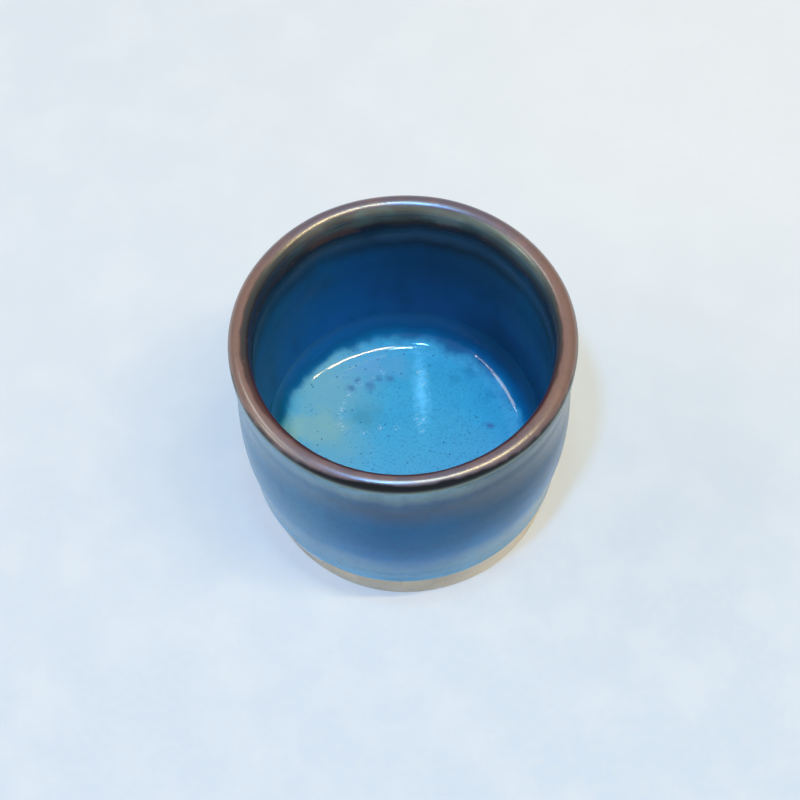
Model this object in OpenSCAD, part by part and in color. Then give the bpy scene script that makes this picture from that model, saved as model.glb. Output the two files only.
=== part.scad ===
// A guinomi: a small wheel-thrown stoneware cup for sake, with a rust brown lip,
// a blue glaze inside and out, and a bare clay foot.
// The cup stands on z = 0 and its axis is Z. All sizes are in millimetres.

/* [Cup] */
// Diameter over the glazed lip
lip_d = 66; // [60:0.5:74]
// Height from the table to the top of the lip
cup_h = 51; // [44:0.5:60]
// How far the belly, halfway up the glazed wall, stands in from the lip's side
belly_in = 0.7; // [-1:0.1:3]
// How far the slight waist, between the belly and the lip, stands in from the lip's side
waist_in = 0.85; // [-0.5:0.05:3]
// Thickness of the glazed lip, which is a half round
lip_t = 4; // [3:0.1:4.8]

/* [Foot] */
// Diameter of the clay at the glaze line
heel_d = 58.4; // [54:0.2:61]
// Height of the glaze line, above which the wall is glazed
bare_h = 8.25; // [5:0.25:10]
// Outer diameter of the foot ring
foot_d = 56.5; // [48:0.5:57.5]
// Width of the foot ring
ring_w = 5.5; // [4:0.25:9]
// Depth of the turned recess inside the foot ring
recess_h = 3.2; // [1.6:0.2:4.4]
// Chamfer that takes the sharp edges off the foot ring
foot_edge = 0.6; // [0.3:0.1:1]

/* [Clay] */
// Thickness of the clay wall under the lip
wall_t = 2.8; // [2:0.1:4]
// How much thicker the clay wall is where it meets the floor
wall_swell = 0.3; // [0:0.1:2]
// Thickness of the clay floor at its centre
floor_t = 5; // [3.5:0.25:8]
// How far the clay floor falls from its rim to its centre
floor_dish = 0.5; // [0:0.1:1.5]
// Width of the rounded corner between the floor and the wall
corner_w = 8; // [4:0.5:10]
// Height of the rounded corner between the floor and the wall
corner_h = 8; // [4:0.5:10]

/* [Throwing rings] */
// Distance from one throwing ring to the next
ring_pitch = 5.3; // [4:0.1:9]
// Depth of the throwing rings inside
ring_depth_in = 0.16; // [0:0.01:0.3]
// Depth of the throwing rings outside
ring_depth_out = 0.02; // [0:0.01:0.2]

/* [Glaze] */
// Thickness of the glaze on the outside of the wall
outer_coat = 0.55; // [0.3:0.05:0.9]
// Thickness of the glaze on the inside of the wall
inner_coat = 0.45; // [0.3:0.05:0.8]
// Thickness of the glaze on the lip, where it has run thin
lip_coat = 0.25; // [0.15:0.05:0.4]
// Thickness of the glaze that has pooled on the floor
pool_t = 1.3; // [0.8:0.1:2.2]
// Extra thickness of the roll of glaze that stopped at the glaze line
roll_t = 0.35; // [0:0.05:0.7]
// Height of that roll of glaze
roll_h = 4; // [2:0.25:6]

/* [Hidden] */
$fn = 180;

// Steps along each stretch of the outline
edge_steps = 8;
outer_steps = 44;
lip_steps = 20;
inner_steps = 60;
corner_steps = 14;
floor_steps = 8;

// Places along the outside, as shares of the wall from the glaze line to the lip
shoulder_share = 0.17;
turn_share = 0.33;
belly_share = 0.5;
waist_share = 0.7;
neck_share = 0.87;
// Shares of the way in from the belly to the heel, at the shoulder and at the turn
shoulder_in_share = 0.5;
turn_in_share = 0.12;
// Share of the way out from the waist to the lip, at the neck
neck_out_share = 0.45;
// Share of the wall over which the glaze gets thinner towards the lip
thin_share = 0.22;
// Height of the glaze's rounded lower edge, as a share of its thickness
edge_share = 1.2;

// The half round of clay under the lip's glaze
lip_clay_r = lip_t / 2 - lip_coat;
lip_mid_r = lip_d / 2 - lip_t / 2;
lip_mid_z = cup_h - lip_t / 2;

// The outside of the clay, under the glaze
heel_r = heel_d / 2;
belly_r = lip_d / 2 - belly_in - outer_coat;
waist_r = lip_d / 2 - waist_in - outer_coat;
lip_side_r = lip_mid_r + lip_clay_r;
neck_r = waist_r + (lip_side_r - waist_r) * neck_out_share;
wall_h = lip_mid_z - bare_h;

// Radius and height of the places that the outside runs through. The first and the
// last lie beyond its ends, and only set its slope there.
wall_knots = [
    [heel_r - (belly_r - heel_r) * shoulder_in_share, bare_h - wall_h * shoulder_share],
    [heel_r, bare_h],
    [belly_r - (belly_r - heel_r) * shoulder_in_share, bare_h + wall_h * shoulder_share],
    [belly_r - (belly_r - heel_r) * turn_in_share, bare_h + wall_h * turn_share],
    [belly_r, bare_h + wall_h * belly_share],
    [waist_r, bare_h + wall_h * waist_share],
    [neck_r, bare_h + wall_h * neck_share],
    [lip_side_r, lip_mid_z],
    [neck_r, lip_mid_z + wall_h * (1 - neck_share)],
];

// The clay floor, and the height at which its rounded corner has become the wall
floor_z = recess_h + floor_t;
floor_rim_z = floor_z + floor_dish;
corner_z = floor_rim_z + corner_h;

// Height of the glaze's rounded lower edge
edge_h = (outer_coat + roll_t) * edge_share;

// From a to b as t goes from 0 to 1
function mix(a, b, t) = a + (b - a) * t;

// From 0 to 1 with a soft start and end
function ease(t) = let(u = max(0, min(1, t))) u * u * (3 - 2 * u);

// The last knot that lies below height z
function knot_below(z, k = 1) =
    k == len(wall_knots) - 3 || z < wall_knots[k + 1][1] ? k : knot_below(z, k + 1);

// How fast the outside leans out at knot k
function knot_slope(k) =
    (wall_knots[k + 1][0] - wall_knots[k - 1][0]) / (wall_knots[k + 1][1] - wall_knots[k - 1][1]);

// Radius of the outside at height z: a smooth curve through the knots
function plain_r(z) =
    let(
        k = knot_below(z),
        low = wall_knots[k],
        high = wall_knots[k + 1],
        rise = high[1] - low[1],
        t = (z - low[1]) / rise
    )
    mix(low[0], high[0], ease(t))
        + rise * t * (1 - t) * (knot_slope(k) * (1 - t) - knot_slope(k + 1) * t);

// The throwing rings at height z: a wave from -1 to 1 that fades away within one ring
// of the lip and of the low end
function ring_wave(z, low_z) =
    sin(360 * (lip_mid_z - z) / ring_pitch)
        * ease((lip_mid_z - z) / ring_pitch) * ease((z - low_z) / ring_pitch);

// Thickness of the clay at height z
function clay_t(z) =
    let(down = (lip_mid_z - z) / (lip_mid_z - corner_z))
    mix(2 * lip_clay_r, wall_t, ease(down / thin_share)) + wall_swell * ease(down);

function outside_r(z) = plain_r(z) + ring_depth_out * ring_wave(z, bare_h);
function inside_r(z) = plain_r(z) - clay_t(z) + ring_depth_in * ring_wave(z, corner_z);

// Thickness of the glaze outside and inside, at height z
function outer_t(z) =
    let(down = (lip_mid_z - z) / wall_h)
    mix(lip_coat, outer_coat, ease(down / thin_share)) + roll_t * ease(1 - (z - bare_h) / roll_h);
function inner_t(z) =
    let(down = (lip_mid_z - z) / (lip_mid_z - corner_z))
    mix(lip_coat, inner_coat, ease(down / thin_share));

corner_r = inside_r(corner_z);
floor_rim_r = corner_r - corner_w;

// The clay's surface in order: up the outside, over the lip, down the inside and in to
// the centre of the floor. Each place is its radius, its height and its glaze's thickness.
glaze_edge = [for (i = [0 : edge_steps - 1])
    let(a = 90 * i / edge_steps, z = bare_h + edge_h * (1 - cos(a)))
    [outside_r(z), z, outer_t(z) * sin(a)]];

outer_wall = [for (i = [0 : outer_steps - 1])
    let(z = mix(bare_h + edge_h, lip_mid_z, i / outer_steps))
    [outside_r(z), z, outer_t(z)]];

lip_round = [for (i = [0 : lip_steps])
    let(a = 180 * i / lip_steps)
    [lip_mid_r + lip_clay_r * cos(a), lip_mid_z + lip_clay_r * sin(a), lip_coat]];

inner_wall = [for (i = [1 : inner_steps])
    let(z = mix(lip_mid_z, corner_z, i / inner_steps))
    [inside_r(z), z, inner_t(z)]];

corner = [for (i = [1 : corner_steps])
    let(a = 90 * i / corner_steps)
    [
        corner_r - corner_w * (1 - cos(a)),
        corner_z - corner_h * sin(a),
        mix(inner_coat, pool_t, ease(i / corner_steps))
    ]];

floor_top = [for (i = [1 : floor_steps])
    let(share = i / floor_steps)
    [floor_rim_r * (1 - share), floor_rim_z - floor_dish * ease(share), pool_t]];

skin = concat(glaze_edge, outer_wall, lip_round, inner_wall, corner, floor_top);

// Where each coat of glaze starts along the surface
outer_from = 0;
lip_from = edge_steps + outer_steps;
wall_from = lip_from + lip_steps;
floor_from = wall_from + inner_steps;
skin_end = len(skin) - 1;

// Direction straight out of the clay at place i
function outward(i) =
    i == skin_end ? [0, 1] :
    let(
        before = skin[max(0, i - 1)],
        after = skin[i + 1],
        along = [after[0] - before[0], after[1] - before[1]]
    )
    [along[1], -along[0]] / norm(along);

clay_skin = [for (place = skin) [place[0], place[1]]];
glaze_skin = [for (i = [0 : skin_end]) clay_skin[i] + skin[i][2] * outward(i)];

// One coat of glaze, on the surface from one place to another
module coat(from, to) {
    under = [for (i = [from : to]) clay_skin[i]];
    over = [for (i = [to : -1 : from]) if (skin[i][2] > 0) glaze_skin[i]];
    rotate_extrude()
        polygon(concat(under, over));
}

// The thrown clay: wall, floor, and the foot that is turned from the same lump
module clay_body() {
    foot_r = foot_d / 2;
    recess_r = foot_r - ring_w;
    foot = [
        [0, recess_h],
        [recess_r - foot_edge, recess_h],
        [recess_r, recess_h - foot_edge],
        [recess_r, foot_edge],
        [recess_r + foot_edge, 0],
        [foot_r - foot_edge, 0],
        [foot_r, foot_edge]
    ];
    color("#a89a84")
        rotate_extrude()
            polygon(concat(foot, clay_skin));
}

// The blue grey glaze outside, with the roll where it stopped above the foot
module outer_glaze() {
    color("#3c6284")
        coat(outer_from, lip_from);
}

// The thin rust brown glaze over the lip
module lip_glaze() {
    color("#76625a")
        coat(lip_from, wall_from);
}

// The deep blue glaze down the inside of the wall
module wall_glaze() {
    color("#123f66")
        coat(wall_from, floor_from);
}

// The light blue glaze that has pooled in the corner and on the floor
module floor_glaze() {
    color("#48a4d2")
        coat(floor_from, skin_end);
}

clay_body();
outer_glaze();
lip_glaze();
wall_glaze();
floor_glaze();
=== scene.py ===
"""A hand-thrown guinomi, a small stoneware cup for sake, with its glazes.

The clay is one thrown piece. Four coats of glaze lie on it: rust brown over the lip,
deep blue inside, light blue pooled on the floor, and blue grey outside down to a rolled
edge above the bare foot. Every size below is in millimetres unless it says otherwise.
"""

import math

import bpy
from bpy.props import FloatProperty, FloatVectorProperty, IntProperty, PointerProperty
from bpy.types import Operator, Panel, PropertyGroup
from mathutils import Matrix, Vector


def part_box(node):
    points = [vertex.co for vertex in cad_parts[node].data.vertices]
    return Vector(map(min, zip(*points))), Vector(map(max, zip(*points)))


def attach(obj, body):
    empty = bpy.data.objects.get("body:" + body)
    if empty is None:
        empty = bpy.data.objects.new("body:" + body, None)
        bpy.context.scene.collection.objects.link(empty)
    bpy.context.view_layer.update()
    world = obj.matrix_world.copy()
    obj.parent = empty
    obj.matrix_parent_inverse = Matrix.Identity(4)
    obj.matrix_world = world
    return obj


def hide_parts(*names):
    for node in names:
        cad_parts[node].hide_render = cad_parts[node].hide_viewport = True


bl_info = {
    "name": "Guinomi",
    "version": (1, 0, 0),
    "blender": (4, 5, 0),
    "location": "3D View > Sidebar > Guinomi",
    "description": "Models a wheel-thrown stoneware sake cup and its glazes",
    "category": "Object",
}

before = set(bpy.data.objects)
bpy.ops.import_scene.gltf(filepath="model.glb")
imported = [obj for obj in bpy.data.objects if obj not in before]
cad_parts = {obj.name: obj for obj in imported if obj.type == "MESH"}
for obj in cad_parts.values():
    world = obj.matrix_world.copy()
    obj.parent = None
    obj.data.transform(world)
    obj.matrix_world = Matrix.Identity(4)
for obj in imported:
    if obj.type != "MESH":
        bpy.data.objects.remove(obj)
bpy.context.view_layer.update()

MM = 0.001
BODY = "root"

# Corners of the coats and of the clay, from the frame, in millimetres
LIP_LOW, LIP_HIGH = (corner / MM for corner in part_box("lip_glaze"))
CLAY_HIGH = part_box("clay_body")[1] / MM
OUTER_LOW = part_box("outer_glaze")[0] / MM
WALL_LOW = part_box("wall_glaze")[0] / MM
FLOOR_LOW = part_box("floor_glaze")[0] / MM
# Half the lip's thickness, and the radius of the lip's middle
LIP_HALF = LIP_HIGH.z - LIP_LOW.z
LIP_MID = LIP_HIGH.x - LIP_HALF
# How far the lip stands off the foot's axis, along X and Y
LIP_OFF = (0.22, 0.2)
# How far the foot ring stands off the wall's axis, along X
FOOT_OFF = 0.35

QUARTER = math.pi / 2
# Edges sharper than this stay sharp in the shading
SHARP_ANGLE = math.radians(50)
# Points closer together than this, in millimetres, are one point
SAME_POINT = 0.001


def linear(code):
    """The linear colour of an sRGB hex code such as #3c6284."""
    shares = [int(code[i:i + 2], 16) / 255 for i in (1, 3, 5)]
    return tuple(s / 12.92 if s <= 0.04045 else ((s + 0.055) / 1.055) ** 2.4 for s in shares)


def size(name, description, millimetres):
    return FloatProperty(name=name, description=description, default=millimetres * MM,
                         min=0, unit="LENGTH", precision=5)


def colour(name, description, code):
    return FloatVectorProperty(name=name, description=description, default=linear(code),
                               size=3, min=0, max=1, subtype="COLOR")


class GuinomiSizes(PropertyGroup):
    """Sizes that the potter sets and the frame doesn't give"""

    belly_in: size("Belly inset", "How far the belly stands in from the lip's side", 0.7)
    waist_in: size("Waist inset", "How far the waist under the lip stands in", 0.85)
    heel_r: size("Heel radius", "Radius of the clay at the glaze line", 29.2)
    foot_r: size("Foot radius", "Outer radius of the foot ring", 28.25)
    ring_w: size("Foot ring width", "Width of the foot ring", 5.5)
    recess: size("Recess depth", "Depth of the turned recess in the foot", 3.2)
    foot_edge: size("Foot edge", "Rounding of the foot ring's edges", 0.6)
    wall: size("Wall thickness", "Thickness of the clay wall under the lip", 2.8)
    swell: size("Wall swell", "How much thicker the wall is at the floor", 0.3)
    dish: size("Floor dish", "How far the floor falls to its centre", 0.5)
    corner: size("Corner", "Width of the rounded corner round the floor", 7.4)
    pitch: size("Ring pitch", "Distance from one throwing ring to the next", 5.3)
    ring_in: size("Inner rings", "Depth of the throwing rings inside", 0.16)
    ring_out: size("Outer rings", "Depth of the throwing rings outside", 0.008)
    outer: size("Outer glaze", "Thickness of the glaze outside", 0.55)
    inner: size("Inner glaze", "Thickness of the glaze down the inner wall", 0.45)
    pool: size("Pooled glaze", "Thickness of the glaze on the floor", 1.3)
    roll: size("Glaze roll", "Extra thickness of the roll above the foot", 0.35)
    roll_h: size("Roll height", "Height of the roll above the foot", 4)
    segments: IntProperty(name="Segments", description="Faces round the cup", default=320,
                          min=24)


class GuinomiColours(PropertyGroup):
    """Colours of the clay, the glazes and the table"""

    clay: colour("Clay", "Bare fired stoneware", "#c8bfae")
    grit: colour("Grit", "Iron grit in the clay", "#5d4a38")
    wash: colour("Wash", "Thin glaze that ran over the glaze line onto the foot", "#bccde0")
    rust: colour("Rust", "Iron glaze run thin over the lip", "#7a5a4e")
    # Painted reflection: the front and back of the lip are painted mauve for what they mirror
    mauve: colour("Mauve", "Thicker iron glaze at the front and back of the lip", "#5e5260")
    ember: colour("Ember", "Dark red brown at the lip's inner edge", "#4a2422")
    ash: colour("Ash green", "Pale glaze in the band under the lip", "#6f8078")
    milk: colour("Milk", "Milky runs in the band under the lip", "#8d9c96")
    olive: colour("Olive", "Thin glaze over the iron under the lip", "#3a342b")
    ink: colour("Ink blue", "Glaze thin on the throwing rings", "#0c2238")
    deep: colour("Deep blue", "Glaze down the inner wall", "#12416a")
    teal: colour("Teal", "Greener runs down the inner wall", "#0b527e")
    cobalt: colour("Cobalt", "Thicker glaze on the left of the inner wall", "#065ea2")
    azure: colour("Azure", "Glaze where it thickens above the floor", "#0c689a")
    sky: colour("Sky blue", "Thick glaze pooled on the floor", "#3eaad2")
    # Painted glints: these pale specks stand in for glints on the wrinkled glaze
    painted_glints: colour("Froth", "Tiny bubbles held in the pooled glaze", "#e6f6fa")
    # Painted reflection: the paler streak stands in for a bright light mirrored in the pool
    column: colour("Column blue", "Paler streak across the pooled glaze", "#68d0fa")
    pool: colour("Pool blue", "Clearer blue in the pooled glaze", "#38a6d4")
    shallow: colour("Shallow blue", "Paler blue towards the front of the pool", "#58b0d8")
    lagoon: colour("Lagoon", "Greener blue in the pooled glaze", "#4498b3")
    celadon: colour("Celadon", "Grey green glaze in the pool", "#7ab2b8")
    smoke: colour("Smoke", "Greyer blue towards the left of the pool", "#69acc0")
    haze: colour("Haze", "Blue grey cloud at the back of the pool", "#5fa6cc")
    plum: colour("Plum", "Iron spots in the pooled glaze", "#416d9f")
    slate: colour("Slate", "Outer glaze below the pale band", "#1f4668")
    harbour: colour("Harbour blue", "Outer glaze on the belly", "#0a5684")
    mist: colour("Mist blue", "Outer glaze where it thickens at the roll", "#4e8cb0")
    # Painted reflection: a near black line on the lip's outer shoulder, for the dark surroundings
    # it mirrors
    painted_dark_reflection: colour("Night", "Near black iron line on the lip's outer shoulder", "#121419")
    paper: colour("Table", "The pale table under the cup", "#dce2e4")
    # Painted shade: the table is painted darker towards the front and the left
    paper_near_painted_shade: colour("Table front", "The table's colour towards the front", "#c9d7e3")
    paper_left_painted_shade: colour("Table left", "The table's colour towards the left", "#cdd8e3")


def mix(a, b, t):
    return a + (b - a) * t


def ease(t):
    """From 0 to 1 with a soft start and end."""
    t = max(0.0, min(1.0, t))
    return t * t * (3 - 2 * t)


def spread(start, end, steps):
    """Places from start towards end, without end."""
    return [mix(start, end, i / steps) for i in range(steps)]


class CupShape:
    """The cup's section: radius and thickness by height, in millimetres."""

    # Places along the outside, as shares of the wall from the glaze line to the lip
    shoulder, turn, belly, waist, neck = 0.17, 0.33, 0.5, 0.7, 0.87
    # Share of the way in to the heel at the turn, and of the way out to the lip at the neck
    turn_in, neck_out = 0.12, 0.45
    # Share of the wall over which clay and glaze change towards the lip
    thin_share = 0.22
    # Height of the outer glaze's rounded lower edge, as a share of its thickness
    edge_share = 1.2
    # Power of the lip's curve: 2 is a half round and less is more pointed
    lip_bow = 1.78
    # Rounds off the very top of that curve
    crown = 0.001
    # The ledge inside where the blue starts: how far down it is, its height and thickness,
    # and the shares of the way down between which it fades
    ledge_drop, ledge_h, ledge_t = 4.0, 0.5, 0.12
    ledge_fades, ledge_ends = 0.15, 0.65
    # The faint rib outside: how far above the glaze line it is, its half width and thickness
    rib_up, rib_w, rib_t = 3.9, 0.9, 0.1
    # Share of the inner rings' depth at the lip and low down, and how fast they fade
    ring_high, ring_low, ring_fade = 1.2, 0.08, 2.6
    # The turning tool's lines: their pitch in the recess and up the foot, and their depth
    recess_pitch, foot_pitch, tool_depth = 1.1, 0.8, 0.05
    # Steps along each stretch of the skin, in order
    edge_steps, outer_steps, lip_steps = 10, 104, 80
    neck_steps, ledge_steps, wall_steps = 12, 10, 80
    corner_steps, floor_steps = 36, 56
    # Steps along each stretch of the foot, in order
    recess_steps, round_steps, ring_steps, foot_steps = 60, 6, 8, 40

    def __init__(self, sizes):
        names = [name for name in GuinomiSizes.__annotations__ if name != "segments"]
        s = {name: getattr(sizes, name) / MM for name in names}
        self.s = s
        self.lip_z = LIP_LOW.z
        self.lip_coat = LIP_HIGH.x - CLAY_HIGH.x
        self.line_z = OUTER_LOW.z
        self.corner_z = WALL_LOW.z
        self.rim_z = FLOOR_LOW.z + s["dish"]
        self.wall_h = self.lip_z - self.line_z

        clay_r = LIP_HIGH.x - s["outer"]
        belly_r = clay_r - s["belly_in"]
        waist_r = clay_r - s["waist_in"]
        side_r = LIP_HIGH.x - self.lip_coat
        neck_r = mix(waist_r, side_r, self.neck_out)
        in_step = belly_r - s["heel_r"]
        places = [
            (-self.shoulder, s["heel_r"] - in_step / 2),
            (0, s["heel_r"]),
            (self.shoulder, belly_r - in_step / 2),
            (self.turn, belly_r - in_step * self.turn_in),
            (self.belly, belly_r),
            (self.waist, waist_r),
            (self.neck, neck_r),
            (1, side_r),
            (2 - self.neck, neck_r),
        ]
        # The first and the last knot lie beyond the ends, and only set the slope there
        self.knots = [(r, self.line_z + self.wall_h * share) for share, r in places]

    def slope(self, k):
        """How fast the outside leans out at knot k."""
        (r0, z0), (r1, z1) = self.knots[k - 1], self.knots[k + 1]
        return (r1 - r0) / (z1 - z0)

    def plain(self, z):
        """Radius of the clay's outside: a smooth curve through the knots."""
        k = 1
        while k < len(self.knots) - 3 and z >= self.knots[k + 1][1]:
            k += 1
        (r0, z0), (r1, z1) = self.knots[k], self.knots[k + 1]
        t = (z - z0) / (z1 - z0)
        lean = self.slope(k) * (1 - t) - self.slope(k + 1) * t
        return mix(r0, r1, ease(t)) + (z1 - z0) * t * (1 - t) * lean

    def wave(self, z, low):
        """The throwing rings, from -1 to 1, faded at the lip and at the low end."""
        pitch = self.s["pitch"]
        fade = ease((self.lip_z - z) / pitch) * ease((z - low) / pitch)
        return fade * math.sin(math.tau * (self.lip_z - z) / pitch)

    def down(self, z):
        """Share of the way down the inner wall."""
        return (self.lip_z - z) / (self.lip_z - self.corner_z)

    def outside(self, z):
        return self.plain(z) + self.s["ring_out"] * self.wave(z, self.line_z)

    def inside(self, z):
        down = self.down(z)
        at_lip = 2 * (LIP_HALF - self.lip_coat)
        clay = mix(at_lip, self.s["wall"], ease(down / self.thin_share))
        clay += self.s["swell"] * ease(down)
        depth = self.s["ring_in"] * mix(self.ring_high, self.ring_low, ease(down * self.ring_fade))
        return self.plain(z) - clay + depth * self.wave(z, self.corner_z)

    def outer_coat(self, z):
        """The outer glaze: thin at the lip, thick in the roll, with a low rib above it."""
        thin = ease((self.lip_z - z) / self.wall_h / self.thin_share)
        roll = self.s["roll"] * ease(1 - (z - self.line_z) / self.s["roll_h"])
        rib = self.rib_t * math.exp(-((z - self.line_z - self.rib_up) / self.rib_w) ** 2)
        return mix(self.lip_coat, self.s["outer"], thin) + roll + rib

    def inner_coat(self, z):
        """The inner glaze, with the small ledge where the blue starts under the lip."""
        thin = ease(self.down(z) / self.thin_share)
        step = (self.lip_z - self.ledge_drop - z) / self.ledge_h
        round_step = math.sqrt(max(0.0, 1 - (1 - min(1.0, step)) ** 2)) if step > 0 else 0
        faded = ease((self.down(z) - self.ledge_fades) / (self.ledge_ends - self.ledge_fades))
        ledge = self.ledge_t * round_step * (1 - faded)
        return mix(self.lip_coat, self.s["inner"], thin) + ledge

    def skin(self):
        """The clay's surface up the outside, over the lip and down to the floor's centre.

        Each place is (radius, height, thickness of its glaze). The second result says
        where each coat starts.
        """
        s = self.s
        edge_h = (s["outer"] + s["roll"]) * self.edge_share
        places = []
        for a in spread(0, QUARTER, self.edge_steps):
            z = self.line_z + edge_h * (1 - math.cos(a))
            places.append((self.outside(z), z, self.outer_coat(z) * math.sin(a)))
        for z in spread(self.line_z + edge_h, self.lip_z, self.outer_steps):
            places.append((self.outside(z), z, self.outer_coat(z)))
        lip_from = len(places)

        clay_half = LIP_HALF - self.lip_coat
        for a in spread(0, math.pi, self.lip_steps):
            across = math.cos(a)
            fall = ((across * across + self.crown) / (1 + self.crown)) ** (self.lip_bow / 2)
            up = (1 - fall) ** (1 / self.lip_bow)
            places.append((LIP_MID + clay_half * across, self.lip_z + clay_half * up,
                           self.lip_coat))
        wall_from = len(places)

        ledge_z = self.lip_z - self.ledge_drop
        heights = spread(self.lip_z, ledge_z, self.neck_steps)
        for a in spread(0, QUARTER, self.ledge_steps):
            heights.append(ledge_z - self.ledge_h * (1 - math.cos(a)))
        heights += spread(ledge_z - self.ledge_h, self.corner_z, self.wall_steps)
        places += [(self.inside(z), z, self.inner_coat(z)) for z in heights]
        floor_from = len(places)

        corner_r = self.inside(self.corner_z)
        rim_r = corner_r - s["corner"]
        coat = self.inner_coat(self.corner_z)
        for a in spread(0, QUARTER, self.corner_steps):
            places.append((corner_r - s["corner"] * (1 - math.cos(a)),
                           self.corner_z - (self.corner_z - self.rim_z) * math.sin(a),
                           mix(coat, s["pool"], ease(a / QUARTER))))
        for share in spread(0, 1, self.floor_steps) + [1]:
            places.append((rim_r * (1 - share), self.rim_z - s["dish"] * ease(share), s["pool"]))
        return places, (0, lip_from, wall_from, floor_from, len(places) - 1)

    def glazed(self, places):
        """The glaze's surface: each place of the clay's, moved straight out of the clay."""
        points = []
        for i, (r, z, coat) in enumerate(places):
            before = places[max(0, i - 1)]
            after = places[min(len(places) - 1, i + 1)]
            along = Vector((after[0] - before[0], after[1] - before[1])).normalized()
            if i == len(places) - 1:
                along = Vector((-1, 0))
            points.append((r + coat * along.y, z - coat * along.x))
        return points

    def foot(self):
        """The turned foot, from the recess's centre out to the side, with tool lines."""
        s = self.s
        outer, edge = s["foot_r"], s["foot_edge"]
        inner = outer - s["ring_w"]
        points = []
        for r in spread(0, inner - 2 * edge, self.recess_steps):
            lines = math.sin(math.tau * r / self.recess_pitch)
            points.append((r, s["recess"] + self.tool_depth * lines))
        for a in spread(0, QUARTER, self.round_steps):
            points.append((inner - 2 * edge * (1 - math.sin(a)),
                           s["recess"] - 2 * edge * (1 - math.cos(a))))
        for a in spread(0, QUARTER, self.round_steps):
            points.append((inner + edge * (1 - math.cos(a)), edge * (1 - math.sin(a))))
        points += [(r, 0) for r in spread(inner + edge, outer - edge, self.ring_steps)]
        for a in spread(0, QUARTER, self.ring_steps):
            points.append((outer - edge * (1 - math.sin(a)), edge * (1 - math.cos(a))))
        for z in spread(edge, self.line_z, self.foot_steps):
            side = mix(outer, s["heel_r"], (z - edge) / (self.line_z - edge))
            fade = ease((z - edge) / edge) * ease((self.line_z - z) / edge)
            lines = fade * math.sin(math.tau * z / self.foot_pitch)
            points.append((side - self.tool_depth * (1 + lines) / 2, z))
        return points


def turn_outline(name, outline, segments, closed):
    """Draws an outline of (radius, height) point by point and turns it round the axis."""
    bpy.ops.object.select_all(action="DESELECT")
    bpy.ops.mesh.primitive_plane_add(size=MM)
    piece = bpy.context.object
    piece.name = piece.data.name = name
    bpy.ops.object.mode_set(mode="EDIT")
    bpy.ops.mesh.select_mode(type="VERT")
    bpy.ops.mesh.select_all(action="SELECT")
    bpy.ops.mesh.merge(type="CENTER")
    points = [Vector((r, 0, z)) * MM for r, z in outline]
    if closed:
        points.append(points[0])
    bpy.ops.transform.translate(value=points[0])
    for here, after in zip(points, points[1:]):
        bpy.ops.mesh.extrude_region_move(TRANSFORM_OT_translate={"value": after - here})
    bpy.ops.object.mode_set(mode="OBJECT")
    bpy.ops.object.modifier_add(type="SCREW")
    turn = piece.modifiers[-1]
    turn.axis = "Z"
    turn.angle = math.tau
    turn.steps = turn.render_steps = segments
    bpy.ops.object.modifier_apply(modifier=turn.name)
    bpy.ops.object.mode_set(mode="EDIT")
    bpy.ops.mesh.select_all(action="SELECT")
    bpy.ops.mesh.remove_doubles(threshold=SAME_POINT * MM)
    bpy.ops.mesh.normals_make_consistent(inside=False)
    bpy.ops.object.mode_set(mode="OBJECT")
    return piece


def weigh(piece, name, weight_at):
    """A vertex group whose weight at each point, in millimetres, is weight_at(point)."""
    group = piece.vertex_groups.new(name=name)
    for vertex in piece.data.vertices:
        group.add([vertex.index], weight_at(vertex.co / MM), "REPLACE")
    return name


def clouds(name, grain, basis):
    """Soft noise with grains of that many millimetres, shared by all the pieces."""
    texture = bpy.data.textures.get(name) or bpy.data.textures.new(name, "CLOUDS")
    texture.noise_scale = grain * MM
    texture.noise_basis = basis
    texture.noise_depth = 1
    return texture


def push(piece, texture, direction, strength, group=""):
    """Moves the piece's points by the texture along one direction, for good.

    Without a texture they all move by half the strength.
    """
    bpy.context.view_layer.objects.active = piece
    bpy.ops.object.modifier_add(type="DISPLACE")
    modifier = piece.modifiers[-1]
    modifier.texture = texture
    modifier.texture_coords = "LOCAL"
    modifier.direction = direction
    modifier.strength = strength * MM
    modifier.mid_level = 0.5
    modifier.vertex_group = group
    bpy.ops.object.modifier_apply(modifier=modifier.name)


def hand_made(piece):
    """Gives the piece the slight unevenness of a thrown pot and of melted glaze.

    The same clouds move every piece, so that neighbours stay face to face. The last moves
    set the foot ring and the lip a little off true.
    """
    above_foot = weigh(piece, "above_foot", lambda at: ease(at.z / OUTER_LOW.z))
    push(piece, clouds("lean_x", 46, "ORIGINAL_PERLIN"), "X", 0.8)
    push(piece, clouds("lean_y", 39, "IMPROVED_PERLIN"), "Y", 0.8)
    push(piece, clouds("sag", 24, "BLENDER_ORIGINAL"), "Z", 0.4, above_foot)
    push(piece, clouds("ripple_x", 7, "ORIGINAL_PERLIN"), "X", 0.03, above_foot)
    push(piece, clouds("ripple_y", 8, "IMPROVED_PERLIN"), "Y", 0.03, above_foot)
    push(piece, clouds("ripple_z", 5, "BLENDER_ORIGINAL"), "Z", 0.05, above_foot)
    to_foot = weigh(piece, "to_foot", lambda at: 1 - ease(at.z / OUTER_LOW.z))
    push(piece, None, "X", 2 * FOOT_OFF, to_foot)
    to_lip = weigh(piece, "to_lip", lambda at: ease(at.z / LIP_HIGH.z))
    push(piece, None, "X", 2 * LIP_OFF[0], to_lip)
    push(piece, None, "Y", 2 * LIP_OFF[1], to_lip)


def finish_piece(piece, material, node):
    """Smooth shading, the material, and the piece's place in the frame."""
    piece.vertex_groups.clear()
    bpy.ops.object.select_all(action="DESELECT")
    piece.select_set(True)
    bpy.context.view_layer.objects.active = piece
    bpy.ops.object.shade_smooth_by_angle(angle=SHARP_ANGLE)
    piece.data.materials.clear()
    piece.data.materials.append(material)
    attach(piece, BODY)
    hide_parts(node)


def result(node):
    """The first output that the node's settings leave in use."""
    return next(output for output in node.outputs if output.enabled)


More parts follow.
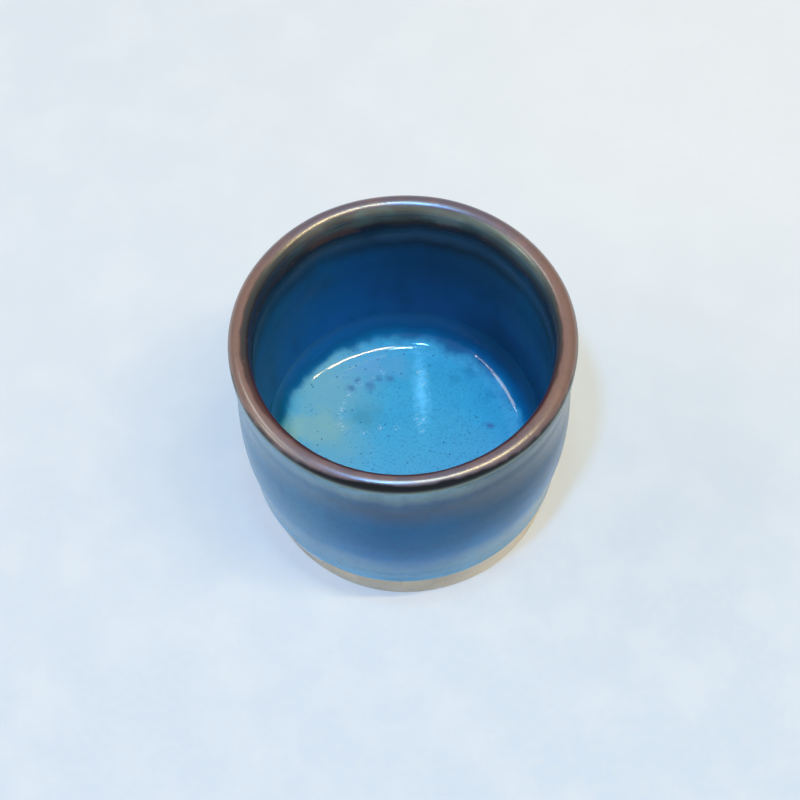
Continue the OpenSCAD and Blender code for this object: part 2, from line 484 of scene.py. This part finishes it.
def add(material, kind, settings=None, inputs=None):
    """Adds a shader node with its settings. An input is a value, a node or a node's socket."""
    tree = material.node_tree
    new = tree.nodes.new("ShaderNode" + kind)
    for name, value in (settings or {}).items():
        setattr(new, name, value)
    for name, value in (inputs or {}).items():
        socket = new.inputs[name]
        if isinstance(value, bpy.types.Node):
            value = result(value)
        if isinstance(value, bpy.types.NodeSocket):
            tree.links.new(value, socket)
        elif socket.type == "RGBA":
            socket.default_value = (*value[:3], 1)
        else:
            socket.default_value = value
    return new


def new_material(name, **shader):
    """A material and its shader, whose constants are set on the shader's own sockets."""
    material = bpy.data.materials.new(name)
    material.use_nodes = True
    principled = material.node_tree.nodes["Principled BSDF"]
    for socket, value in shader.items():
        principled.inputs[socket.replace("_", " ")].default_value = value
    return material, principled


def finish_material(material, principled, colour_node, relief, relief_mm):
    """Gives the shader its colour and a fine relief of that depth."""
    bump = add(material, "Bump", {}, {"Height": relief, "Distance": relief_mm * MM})
    tree = material.node_tree
    tree.links.new(result(colour_node), principled.inputs["Base Color"])
    tree.links.new(bump.outputs["Normal"], principled.inputs["Normal"])


SOFT = {"interpolation_type": "SMOOTHSTEP"}
# The blue glass of the glazes inside and outside tints what it mirrors
GLAZE_TINT = (0.4, 0.72, 1, 1)


def on_cup(material):
    """The point on the cup in millimetres, and its x, y and z."""
    coordinates = add(material, "TexCoord")
    point = add(material, "VectorMath", {"operation": "SCALE"},
                {0: coordinates.outputs["Object"], "Scale": 1 / MM})
    split = add(material, "SeparateXYZ", {}, {0: point})
    return point, *split.outputs


def tones(colours, names):
    """The named colours, as vectors that can be darkened and mixed."""
    return [Vector(getattr(colours, name)) for name in names.split()]


def region(material, *limits, least=0.0, most=1.0, mask=None):
    """A soft mask over a part of the cup, and within another mask if there is one.

    Each limit is (value, where the mask starts, where it is full).
    """
    for value, start, full in limits:
        fade = add(material, "MapRange", SOFT, {"Value": value, "From Min": start,
                                                "From Max": full, "To Min": least, "To Max": most})
        if mask is not None:
            fade = add(material, "Math", {"operation": "MULTIPLY"}, {0: mask, 1: fade})
        mask, least, most = fade, 0.0, 1.0
    return mask


def patches(material, point, grain, low, high, least=0.0, most=1.0, stretch=(1, 1, 1),
            shift=0.0):
    """Soft patches of about that many millimetres, from least to most."""
    moved = add(material, "Mapping", {}, {"Vector": point, "Location": (shift,) * 3,
                                          "Scale": stretch})
    cloud = add(material, "TexNoise", {}, {"Vector": moved, "Scale": 1 / grain, "Detail": 3})
    return region(material, (cloud.outputs["Fac"], low, high), least=least, most=most)


def layers(material, base, *over):
    """Lays colours over a base, each where its mask is high."""
    # A colour mix has its factor, first and second colour at 0, 6 and 7
    for mask, colour_over in over:
        base = add(material, "Mix", {"data_type": "RGBA"}, {0: mask, 6: base, 7: colour_over})
    return base


def by_height(material, height, stops):
    """The glaze's colour by height: stops are (millimetres, colour), from low to high."""
    low, high = stops[0][0], stops[-1][0]
    share = add(material, "MapRange", {}, {"Value": height, "From Min": low, "From Max": high})
    ramp = add(material, "ValToRGB", {}, {"Fac": share})
    elements = ramp.color_ramp.elements
    while len(elements) < len(stops):
        elements.new(0.5)
    for element, (z, colour_here) in zip(elements, stops):
        element.position = (z - low) / (high - low)
        element.color = (*colour_here, 1)
    return ramp


def spot(material, point, x, y, radius, blur, ragged=2.0, stretch=(1, 1)):
    """A soft spot round (x, y) with a ragged edge. A small stretch makes it long that way."""
    flat = add(material, "VectorMath", {"operation": "MULTIPLY"}, {0: point, 1: (*stretch, 0)})
    away = add(material, "VectorMath", {"operation": "DISTANCE"},
               {0: flat, 1: (x * stretch[0], y * stretch[1], 0)})
    edge = patches(material, point, ragged, 0.2, 0.8, -ragged / 2, ragged / 2, shift=x)
    distance = add(material, "Math", {"operation": "ADD"}, {0: away.outputs["Value"], 1: edge})
    return region(material, (distance, radius + blur, radius - blur))


def run_down(material, point, z, reach, grain, shift):
    """The height, shifted up and down by reach millimetres as the glaze ran unevenly."""
    uneven = patches(material, point, grain, 0.25, 0.75, -reach, reach, (1, 1, 0.25), shift)
    return add(material, "Math", {"operation": "ADD"}, {0: z, 1: uneven})


def stoneware(colours):
    """Buff stoneware, turned and fired bare: dry and matt, with iron grit and tool lines."""
    material, principled = new_material("buff_stoneware_turned", Roughness=0.85, IOR=1.5)
    point, x, y, z = on_cup(material)
    clay = Vector(colours.clay)
    tone = patches(material, point, 6, 0.3, 0.7)
    # Iron grit about 0.2 mm across, a grain to each 0.8 mm where it lies thick
    grit = add(material, "TexVoronoi", {}, {"Vector": point, "Scale": 1 / 0.8})
    gritty = region(material, (grit.outputs["Distance"], 0.2, 0.1),
                    mask=patches(material, point, 2.2, 0.5, 0.62))
    # Thin glaze ran down over the front of the foot, and lower on its left
    wash_line = region(material, (x, -10, -22), least=9.2, most=2.4)
    above = add(material, "Math", {"operation": "SUBTRACT"}, {0: z, 1: wash_line})
    washed = region(material, (above, -0.9, 0.9), (y, 4, -8), most=0.95)
    # Painted light: the clay is painted paler towards the right, where it is seen lit
    pale = region(material, (x, 2, 18), most=0.8)
    coloured = layers(material, clay * 0.9,
                      (tone, clay * 1.1),
                      (pale, clay * 1.5),
                      (washed, colours.wash),
                      (gritty, colours.grit))
    # Sand of 0.4 mm, and the fine lines that turning left round the foot
    sand = patches(material, point, 0.4, 0, 1)
    lines = patches(material, point, 0.5, 0, 1, stretch=(0.04, 0.04, 1))
    relief = add(material, "Math", {"operation": "ADD"}, {0: sand, 1: lines})
    finish_material(material, principled, coloured, relief, 0.06)
    return material


def outer_glaze(colours):
    """Blue grey glaze, dipped: smooth glass, pale under the lip and deep on the belly.

    Like every melted glaze it keeps a faint orange peel of about a millimetre.
    """
    material, principled = new_material("blue_grey_glaze_dipped", Roughness=0.2, IOR=1.33,
                                         Specular_Tint=GLAZE_TINT)
    point, x, y, z = on_cup(material)
    height = run_down(material, point, z, 1.6, 8, 2)
    harbour, slate, mist, ash = tones(colours, "harbour slate mist ash")
    # The paler blue low down is partly the glaze thickening at the roll and partly a painted
    # reflection of the pale table
    body = by_height(material, height, [
        (7.5, mist * 1.5),
        (9.2, mist * 1.6),
        (10.6, mist * 1.25),
        (16, mist * 0.85 + harbour * 0.3),
        (21, harbour * 1.8),
        (27, harbour * 1.2),
        (35, harbour * 1.1),
        (40, slate * 1.05),
        (43.5, slate * 1.4 + ash * 0.1),
        (46.4, ash * 0.65 + mist * 0.35),
        (48.4, ash * 0.9 + mist * 0.55),
        (50.2, ash * 0.6),
    ])
    # Painted shade: the right side is painted duller round the belly, for the shaded table it
    # mirrors, and paler above it
    right = (x, 2, 18)
    coloured = layers(material, body,
                      # Painted reflection: the left side is painted paler, for the pale table it
                      # mirrors
                      (region(material, (x, -2, -26), most=0.6), mist),
                      (region(material, right, (z, 43, 48), most=0.6), ash * 1.3 + mist * 0.3),
                      (region(material, right, (z, 24, 38), most=0.75), slate * 0.65 + ash * 0.13),
                      # Painted highlight: a pale band low on the right stands in for a highlight
                      # line
                      (region(material, right, (z, 22, 13), most=0.7), mist * 0.8 + ash * 0.5),
                      (patches(material, point, 7, 0.5, 0.72, 0, 0.18, (1, 1, 0.5), 5), slate),
                      (patches(material, point, 1.3, 0.45, 0.75, 0, 0.15), colours.ink))
    finish_material(material, principled, coloured, patches(material, point, 1.2, 0, 1), 0.012)
    return material


def band_under_lip(material, colours, point, x, height):
    """The band inside, under the lip, where the blue glaze melts into the iron.

    It breaks into pale ash green, milky runs, olive brown and a few rust spots.
    """
    ash, olive, ink, rust = tones(colours, "ash olive ink rust")
    base = by_height(material, height, [
        (45.4, ink * 0.8),
        (46.6, olive * 0.5 + ink * 0.4),
        (48.0, ash * 0.55),
        (49.2, ash * 0.8),
        (51, ash * 0.55),
    ])
    # Olive and brown lie mostly on the left, and the milky runs on the right
    left, right = (x, 12, -22), (x, -2, 16)
    olive_runs = patches(material, point, 9, 0.4, 0.62, 0, 0.85, (1, 1, 3), 4)
    milk_runs = patches(material, point, 11, 0.42, 0.62, 0, 0.75, (1, 1, 2.5), 7)
    brown_runs = patches(material, point, 5, 0.45, 0.6, 0, 0.6, (1, 1, 1.5), 13)
    milky = region(material, right, (height, 46.2, 48), (height, 50.5, 49.3), least=0.1,
                   mask=milk_runs)
    aside = add(material, "Math", {"operation": "ABSOLUTE"}, {0: x})
    return layers(material, base,
                  (region(material, left, least=0.3, mask=olive_runs), olive),
                  (milky, colours.milk),
                  (region(material, left, least=0.3, mask=brown_runs), rust * 0.6),
                  (region(material, (x, -14, -24), most=0.85), olive * 0.6 + ink * 0.3),
                  (region(material, (aside, 24, 30), most=0.8), olive * 0.55 + ink * 0.35),
                  (patches(material, point, 1.6, 0.64, 0.74, 0, 0.7, shift=3), rust))


def lip_glaze(colours):
    """Iron glaze, run thin over the lip: rust brown, with a near black painted reflection outside.

    So much iron gives it a lustre, and over gritty clay its highlights are soft. The near
    black line on the outer shoulder is a painted reflection of dark surroundings, and
    there the glaze is also set to mirror less.
    """
    material, principled = new_material("iron_glaze_over_lip", Roughness=0.31, IOR=2.0,
                                         Coat_Weight=0.15, Coat_Roughness=0.14,
                                         Specular_Tint=(0.78, 0.93, 1, 1))
    point, x, y, z = on_cup(material)
    rust, olive, mauve = tones(colours, "rust olive mauve")
    # The distance from the centre of the lip, which stands off the foot's axis
    flat = add(material, "VectorMath", {"operation": "MULTIPLY_ADD"},
               {0: point, 1: (1, 1, 0), 2: (-LIP_OFF[0], -LIP_OFF[1], 0)})
    out = add(material, "VectorMath", {"operation": "LENGTH"}, {0: flat})
    ragged = patches(material, point, 4, 0.3, 0.7, -0.15, 0.15)
    radius = add(material, "Math", {"operation": "ADD"}, {0: out.outputs["Value"], 1: ragged})
    # The painted dark reflection on the outer shoulder is broad at the front, and narrow at the
    # back and the sides
    front = region(material, (y, 10, -28), least=-0.4, most=-0.02)
    aside = add(material, "Math", {"operation": "ABSOLUTE"}, {0: x})
    narrow = region(material, (aside, 4, 25), most=-0.75)
    rim = add(material, "Math", {"operation": "ADD"}, {0: radius, 1: front})
    rim = add(material, "Math", {"operation": "ADD"}, {0: rim, 1: narrow})
    shoulder = region(material, (rim, LIP_MID + 0.55, LIP_MID + 1.15))
    # On the left the dark inner edge reaches further over the lip
    left = region(material, (x, -12, -32), most=-0.55)
    inner = add(material, "Math", {"operation": "ADD"}, {0: radius, 1: left})
    ember = region(material, (inner, LIP_MID - 0.6, LIP_MID - 1.3))
    inside = region(material, (inner, LIP_MID - 0.9, LIP_MID - 1.35), (y, -16, 4))
    outside = add(material, "MapRange", {}, {"Value": inner, "From Min": LIP_MID,
                                             "From Max": LIP_MID + 0.1})
    below = region(material, (z, 49.8, 49.0), mask=outside)
    along = add(material, "Math", {"operation": "ABSOLUTE"}, {0: y})
    coloured = layers(material, rust,
                      # Painted reflection: mauve at the front and back of the lip
                      (region(material, (along, 12, 30)), mauve),
                      (patches(material, point, 3.5, 0.45, 0.75, 0, 0.4), rust * 1.35),
                      (patches(material, point, 2.4, 0.5, 0.8, 0, 0.5, shift=9), rust * 0.7),
                      (patches(material, point, 0.6, 0.5, 0.75, 0, 0.3), olive * 2),
                      (ember, colours.ember),
                      (inside, band_under_lip(material, colours, point, x, z)),
                      (shoulder, colours.painted_dark_reflection),
                      (below, colours.ash))
    dry = add(material, "MapRange", {}, {"Value": shoulder, "To Min": 0.5, "To Max": 0.14})
    material.node_tree.links.new(result(dry), principled.inputs["Specular IOR Level"])
    finish_material(material, principled, coloured, patches(material, point, 0.5, 0, 1), 0.01)
    return material


def sides(material, colours, x, height):
    """Thicker, brighter glaze on the left of the inner wall, and thin glaze low on the right."""
    above_floor = (height, 12, 15)
    left = region(material, (x, 9, -19), (height, 44, 34), above_floor, most=0.8)
    right = region(material, (x, 8, 20), (height, 26, 17), above_floor, most=0.6)
    return (left, colours.cobalt), (right, colours.ink)


def wall_glaze(colours):
    """Deep blue glaze, poured: clear glass, darker where the throwing rings hold it thin."""
    material, principled = new_material("deep_blue_glaze_poured", Roughness=0.36, IOR=1.25,
                                         Specular_Tint=GLAZE_TINT)
    point, x, y, z = on_cup(material)
    height = run_down(material, point, z, 0.6, 9, 11)
    ink, deep, ash = tones(colours, "ink deep ash")
    body = by_height(material, height, [
        (11.0, colours.sky),
        (12.6, colours.azure),
        (14.5, deep * 1.45 + ash * 0.03),
        (24, deep * 1.3 + ash * 0.03),
        (32, deep * 0.9 + ash * 0.03),
        (37.6, deep * 0.8 + ash * 0.03),
        (40.2, ink * 0.9 + ash * 0.04),
        (42.8, deep * 0.75 + ash * 0.16),
        (45.3, ink * 0.8 + ash * 0.04),
    ])
    band = region(material, (height, 45.2, 46.4))
    teal_runs = patches(material, point, 9, 0.5, 0.72, 0, 0.35, (1, 1, 0.4), 6)
    ink_runs = patches(material, point, 10, 0.5, 0.72, 0, 0.35, (1, 1, 0.6), 1)
    coloured = layers(material, body,
                      *sides(material, colours, x, height),
                      (teal_runs, colours.teal),
                      (ink_runs, ink),
                      (band, band_under_lip(material, colours, point, x, height)))
    finish_material(material, principled, coloured, patches(material, point, 1.2, 0, 1), 0.01)
    return material


# Where the pooled glaze is wrinkled, with painted glints on it: places on the floor, in millimetres
WRINKLE_DOTS = [
    (-4.0, 17.2), (-6.3, 15.7), (-8.8, 14.4), (-11.0, 12.3), (-12.1, 10.3), (-12.6, 8.7),
    (-13.0, 7.2), (-13.2, 5.5), (-12.5, 4.3), (-11.5, 3.2), (-8.2, 3.3), (-4.9, 4.1), (-1.6, 4.2),
    (3.4, 16.8), (4.6, 16.1), (3.3, 15.1), (4.1, 13.8), (2.5, 6.4), (4.1, 5.7), (2.8, 4.8),
    (3.4, 3.3),
]
# Its iron spots: place, radius, blur, raggedness and stretch
PLUM_SPOTS = [
    (-10.6, 13.6, 0.4, 1.0, 1),
    (-9.2, 15.3, 0.3, 1.0, 1),
    (-6.6, 14, 0.4, 1.0, 1, (1, 0.6)),
    (-4.9, 15.6, 0.2, 0.9, 1),
    (-2.5, 15.3, 0.4, 1.1, 1),
    (17.2, 3.5, 0.2, 1.0),
]


def floor_glaze(colours):
    """Sky blue glaze, pooled thick: milky glass with pinholes, iron spots and a celadon patch."""
    material, principled = new_material("sky_blue_glaze_pooled", Roughness=0.07, IOR=1.45)
    point, x, y, z = on_cup(material)
    uneven = run_down(material, point, z, 0.5, 5, 2)
    # The pool's dark edge comes further in on the right and at the back
    right = add(material, "MapRange", {}, {"Value": x, "From Min": -6, "From Max": 24,
                                           "To Min": -0.2, "To Max": 0.55})
    back = add(material, "MapRange", {}, {"Value": y, "From Min": 6, "From Max": 20, "To Max": 0.3})
    height = add(material, "Math", {"operation": "ADD"}, {0: right, 1: uneven})
    height = add(material, "Math", {"operation": "ADD"}, {0: back, 1: height})
    sky, deep, azure, ash = tones(colours, "sky deep azure ash")
    body = by_height(material, height, [
        (9.4, sky),
        (10.7, sky * 0.95),
        (11.6, azure),
        (13.2, azure * 0.3 + deep * 0.8),
        (15, deep * 1.44 + ash * 0.03),
        (17, deep * 1.41 + ash * 0.03),
    ])
    # Pinholes and paler specks, 0.3 mm across, a hole to each 2.1 mm and a speck to each 1.3 mm
    holes = add(material, "TexVoronoi", {}, {"Vector": point, "Scale": 1 / 2.1})
    specks = add(material, "TexVoronoi", {}, {"Vector": point, "Scale": 1 / 1.3})
    # Painted glints: pale specks, drawn 0.4 mm wide, stand in for the glints of light on the
    # wrinkled glaze
    wrinkled = spot(material, point, *WRINKLE_DOTS[0], 0.1, 1.0, 0.5)
    for dot in WRINKLE_DOTS[1:]:
        wrinkled = add(material, "Math", {"operation": "MAXIMUM"},
                       {0: wrinkled, 1: spot(material, point, *dot, 0.1, 1.0, 0.5)})
    painted_glints = add(material, "Math", {"operation": "MULTIPLY"},
                {0: wrinkled, 1: patches(material, point, 0.4, 0.52, 0.62)})
    on_floor = [
        (patches(material, point, 7, 0.42, 0.7, 0, 0.5, shift=8), colours.pool),
        (patches(material, point, 3, 0.45, 0.75, 0, 0.25, shift=2), sky * 1.15),
        (region(material, (y, 8, -8), most=0.6), colours.shallow),
        (patches(material, point, 0.5, 0.45, 0.75, 0, 0.3, shift=5), deep * 2),
        (spot(material, point, -15, 14, 8, 6), colours.smoke),
        (spot(material, point, -14, 1, 5, 6), colours.smoke),
        (spot(material, point, -18.5, 5, 4.4, 2.2, 3, (0.8, 1.1)), colours.celadon),
        (spot(material, point, -8, 7, 2.2, 2.5), colours.lagoon),
        (spot(material, point, -6, 18.5, 2.6, 3.0, 3, (0.5, 1)), colours.haze),
        # Painted reflection: a paler streak across the pool
        (spot(material, point, 3.6, 12, 1.0, 1.5, 1.2, (1, 0.2)), colours.column),
        *((spot(material, point, *place), colours.plum) for place in PLUM_SPOTS),
        (region(material, (holes.outputs["Distance"], 0.11, 0.06), most=0.75), deep * 1.3),
        (region(material, (specks.outputs["Distance"], 0.16, 0.08), most=0.4), deep * 1.3),
        (painted_glints, colours.painted_glints),
    ]
    low = region(material, (height, 12.3, 10.8))
    over = [(add(material, "Math", {"operation": "MULTIPLY"}, {0: mask, 1: low}), colour_over)
            for mask, colour_over in on_floor]
    coloured = layers(material, body, *sides(material, colours, x, height), *over)
    finish_material(material, principled, coloured, patches(material, point, 1.0, 0, 1), 0.01)
    return material


class GUINOMI_OT_clay(Operator):
    """Throw and turn the clay: wall, floor and foot in one piece"""

    bl_idname = "guinomi.clay"
    bl_label = "Throw the clay"

    def execute(self, context):
        sizes, colours = context.scene.guinomi_sizes, context.scene.guinomi_colours
        shape = CupShape(sizes)
        places = shape.skin()[0]
        # Glaze covers the skin, so every third place of it is enough
        hidden = places[:-1:3] + places[-1:]
        outline = shape.foot() + [(r, z) for r, z, coat in hidden]
        piece = turn_outline("stoneware_cup", outline, sizes.segments, closed=False)
        hand_made(piece)
        finish_piece(piece, stoneware(colours), "clay_body")
        return {"FINISHED"}


def coat_piece(context, name, coat):
    """Models one coat of glaze, coat being its number along the skin."""
    sizes = context.scene.guinomi_sizes
    shape = CupShape(sizes)
    places, starts = shape.skin()
    first, last = starts[coat], starts[coat + 1]
    over = shape.glazed(places)[first:last + 1]
    under = [(r, z) for r, z, thickness in places[first:last + 1]]
    if places[first][2] == 0:
        over = over[1:]
    reaches_axis = under[-1][0] == 0
    if reaches_axis:
        outline = over[::-1] + under
    else:
        outline = over + under[::-1]
    piece = turn_outline(name, outline, sizes.segments, closed=not reaches_axis)
    hand_made(piece)
    return piece


class GUINOMI_OT_outer_glaze(Operator):
    """Dip the outside in blue grey glaze down to the roll above the foot"""

    bl_idname = "guinomi.outer_glaze"
    bl_label = "Glaze the outside"

    def execute(self, context):
        piece = coat_piece(context, "glaze_outside", 0)
        material = outer_glaze(context.scene.guinomi_colours)
        finish_piece(piece, material, "outer_glaze")
        return {"FINISHED"}


class GUINOMI_OT_lip_glaze(Operator):
    """Run the rust brown iron glaze over the lip"""

    bl_idname = "guinomi.lip_glaze"
    bl_label = "Glaze the lip"

    def execute(self, context):
        piece = coat_piece(context, "glaze_lip", 1)
        material = lip_glaze(context.scene.guinomi_colours)
        finish_piece(piece, material, "lip_glaze")
        return {"FINISHED"}


class GUINOMI_OT_wall_glaze(Operator):
    """Pour the deep blue glaze down the inner wall"""

    bl_idname = "guinomi.wall_glaze"
    bl_label = "Glaze the inner wall"

    def execute(self, context):
        piece = coat_piece(context, "glaze_inner_wall", 2)
        material = wall_glaze(context.scene.guinomi_colours)
        finish_piece(piece, material, "wall_glaze")
        return {"FINISHED"}


def wrinkle(piece):
    """Wrinkles the glaze's surface round the dots, where it dried unevenly before it melted."""
    dots = [Vector(dot) for dot in WRINKLE_DOTS]
    reach = 1.2

    def nearness(at):
        if at.z < FLOOR_LOW.z:
            return 0
        return ease(reach - min((at.xy - dot).length for dot in dots) / reach)

    near = weigh(piece, "near_wrinkle", nearness)
    push(piece, clouds("wrinkle", 0.8, "BLENDER_ORIGINAL"), "Z", 0.45, near)


class GUINOMI_OT_floor_glaze(Operator):
    """Pool the thick light blue glaze on the floor"""

    bl_idname = "guinomi.floor_glaze"
    bl_label = "Pool the floor's glaze"

    def execute(self, context):
        piece = coat_piece(context, "glaze_floor_pool", 3)
        wrinkle(piece)
        material = floor_glaze(context.scene.guinomi_colours)
        finish_piece(piece, material, "floor_glaze")
        return {"FINISHED"}


# The photograph's width and height, where the centre of the lip is seen in it, and the
# focal length, all in pixels
FRAME_PX = 800
LIP_CENTRE_PX = (401.4, 335.9)
FOCAL_PX = 2671
# How far the camera looks down and how far it is turned about its view, in degrees
VIEW_DOWN = 59.4
VIEW_ROLL = -2.21
# Its distance from the lip and its sensor's width, in millimetres
VIEW_DISTANCE = 500
SENSOR = 36


def add_camera():
    """The camera at the photograph's viewing angle."""
    down, roll = math.radians(VIEW_DOWN), math.radians(VIEW_ROLL)
    ahead = Vector((0, math.cos(down), -math.sin(down)))
    level_up = Vector((0, math.sin(down), math.cos(down)))
    level_right = Vector((1, 0, 0))
    right = level_right * math.cos(roll) + level_up * math.sin(roll)
    up = level_up * math.cos(roll) - level_right * math.sin(roll)
    middle = FRAME_PX / 2
    across = (LIP_CENTRE_PX[0] - middle) / FOCAL_PX
    above = (middle - LIP_CENTRE_PX[1]) / FOCAL_PX
    lip_centre = Vector((0, 0, LIP_HIGH.z))
    place = lip_centre - (ahead + right * across + up * above) * VIEW_DISTANCE

    bpy.ops.object.camera_add()
    camera = bpy.context.object
    camera.name = "camera"
    turn = Matrix((right, up, -ahead)).transposed().to_4x4()
    camera.matrix_world = Matrix.Translation(place * MM) @ turn
    camera.data.lens = FOCAL_PX / FRAME_PX * SENSOR
    camera.data.sensor_width = SENSOR
    camera.data.clip_start = 10 * MM
    bpy.context.scene.camera = camera


# The soft lamps, which all point down: name, place, size across and along the table in
# metres, watts and colour
LAMPS = [
    ("blue_lamp", (-0.2, -0.45, 1.5), 0.1, 0.08, 14.5, "#69b1ff"),
    ("cool_panel", (0.0, -0.1, 1.5), 0.12, 0.1, 3.6, "#c4f4ff"),
    ("warm_tube", (0.52, -0.25, 1.5), 0.84, 0.05, 16.5, "#ffdb9c"),
    ("far_tube", (1.26, -0.25, 1.5), 0.26, 0.05, 3, "#ffdb9c"),
    ("left_panel", (-1.38, 0.2, 1.5), 0.4, 0.6, 6, "#ffeedc"),
    ("left_window", (-2.3, -0.5, 1.1), 0.6, 0.6, 16, "#fff4d8"),
    ("left_tube", (-1.42, -0.38, 1.5), 0.12, 0.56, 2.4, "#ffeedc"),
    ("left_lamp", (-1.4, 0.58, 1.5), 0.09, 0.07, 1.6, "#fff8ee"),
    ("left_far_lamp", (-1.42, -0.72, 1.5), 0.08, 0.06, 1.0, "#fff8ee"),
]
ROOM_LIGHT = "#f2f0e6"
# The table's width in metres
TABLE = 6


def add_lamps():
    for name, place, across, along, watts, code in LAMPS:
        bpy.ops.object.light_add(type="AREA", location=place)
        lamp = bpy.context.object
        lamp.name = name
        lamp.data.shape = "RECTANGLE"
        lamp.data.size = across
        lamp.data.size_y = along
        lamp.data.energy = watts
        lamp.data.color = linear(code)


def table_paper(colours):
    """Soft white paper: painted shade makes it a little darker to the front and the left, and it
    keeps the shadow.

    Half of what an eye, a mirror or glass sees of it is its plain colour, whatever the light.
    """
    material, principled = new_material("white_paper_matt", Roughness=0.9)
    point, x, y, z = on_cup(material)
    paper = Vector(colours.paper)
    tone = layers(material, paper,
                  # Painted shade: darker towards the front and the left
                  (region(material, (y, 90, -90)), colours.paper_near_painted_shade),
                  (region(material, (x, 60, -80), most=0.5), colours.paper_left_painted_shade),
                  (patches(material, point, 14, 0.4, 0.7, 0, 0.3), paper * 1.06),
                  (patches(material, point, 2, 0.4, 0.7, 0, 0.2), paper * 0.97))
    seen = add(material, "LightPath")
    by_eye = add(material, "Math", {"operation": "MAXIMUM"},
                 {0: seen.outputs["Is Camera Ray"], 1: seen.outputs["Is Glossy Ray"]})
    by_eye = add(material, "Math", {"operation": "MAXIMUM"},
                 {0: by_eye, 1: seen.outputs["Is Transmission Ray"]})
    share = add(material, "Math", {"operation": "MULTIPLY"}, {0: by_eye, 1: 0.5})
    glow = add(material, "Emission", {}, {"Color": tone, "Strength": 1.0})
    both = add(material, "MixShader", {}, {0: share, 1: principled, 2: glow})
    tree = material.node_tree
    tree.links.new(result(tone), principled.inputs["Base Color"])
    tree.links.new(result(both), tree.nodes["Material Output"].inputs["Surface"])
    return material


def soft_room():
    """The light of a pale room: brightest overhead, darker towards the walls."""
    world = bpy.data.worlds.new("soft_room")
    world.use_nodes = True
    coordinates = add(world, "TexCoord")
    split = add(world, "SeparateXYZ", {}, {0: coordinates.outputs["Generated"]})
    level = region(world, (split.outputs["Z"], 0.0, 0.9), least=0.28, most=0.4)
    background = world.node_tree.nodes["Background"]
    background.inputs["Color"].default_value = (*linear(ROOM_LIGHT), 1)
    world.node_tree.links.new(result(level), background.inputs["Strength"])
    return world


class GUINOMI_OT_stage(Operator):
    """Set the pale table, the soft lamps and the camera"""

    bl_idname = "guinomi.stage"
    bl_label = "Set the stage"

    def execute(self, context):
        bpy.ops.object.select_all(action="DESELECT")
        bpy.ops.mesh.primitive_plane_add(size=TABLE)
        table = context.object
        table.name = "table"
        table.data.materials.append(table_paper(context.scene.guinomi_colours))
        add_lamps()
        context.scene.world = soft_room()
        context.scene.view_settings.view_transform = "Standard"
        add_camera()
        return {"FINISHED"}


class GUINOMI_PT_panel(Panel):
    """The cup's pieces, sizes and colours"""

    bl_label = "Guinomi"
    bl_idname = "GUINOMI_PT_panel"
    bl_space_type = "VIEW_3D"
    bl_region_type = "UI"
    bl_category = "Guinomi"

    def draw(self, context):
        for operator in OPERATORS:
            self.layout.operator(operator.bl_idname)
        for group in (context.scene.guinomi_sizes, context.scene.guinomi_colours):
            box = self.layout.box()
            for name in type(group).__annotations__:
                box.prop(group, name)


OPERATORS = (
    GUINOMI_OT_clay,
    GUINOMI_OT_outer_glaze,
    GUINOMI_OT_lip_glaze,
    GUINOMI_OT_wall_glaze,
    GUINOMI_OT_floor_glaze,
    GUINOMI_OT_stage,
)
CLASSES = (GuinomiSizes, GuinomiColours, *OPERATORS, GUINOMI_PT_panel)


def register():
    for cls in CLASSES:
        bpy.utils.register_class(cls)
    bpy.types.Scene.guinomi_sizes = PointerProperty(type=GuinomiSizes)
    bpy.types.Scene.guinomi_colours = PointerProperty(type=GuinomiColours)


def unregister():
    del bpy.types.Scene.guinomi_colours
    del bpy.types.Scene.guinomi_sizes
    for cls in reversed(CLASSES):
        bpy.utils.unregister_class(cls)


def main():
    register()
    bpy.ops.guinomi.clay()
    bpy.ops.guinomi.outer_glaze()
    bpy.ops.guinomi.lip_glaze()
    bpy.ops.guinomi.wall_glaze()
    bpy.ops.guinomi.floor_glaze()
    bpy.ops.guinomi.stage()


if __name__ == "__main__":
    main()
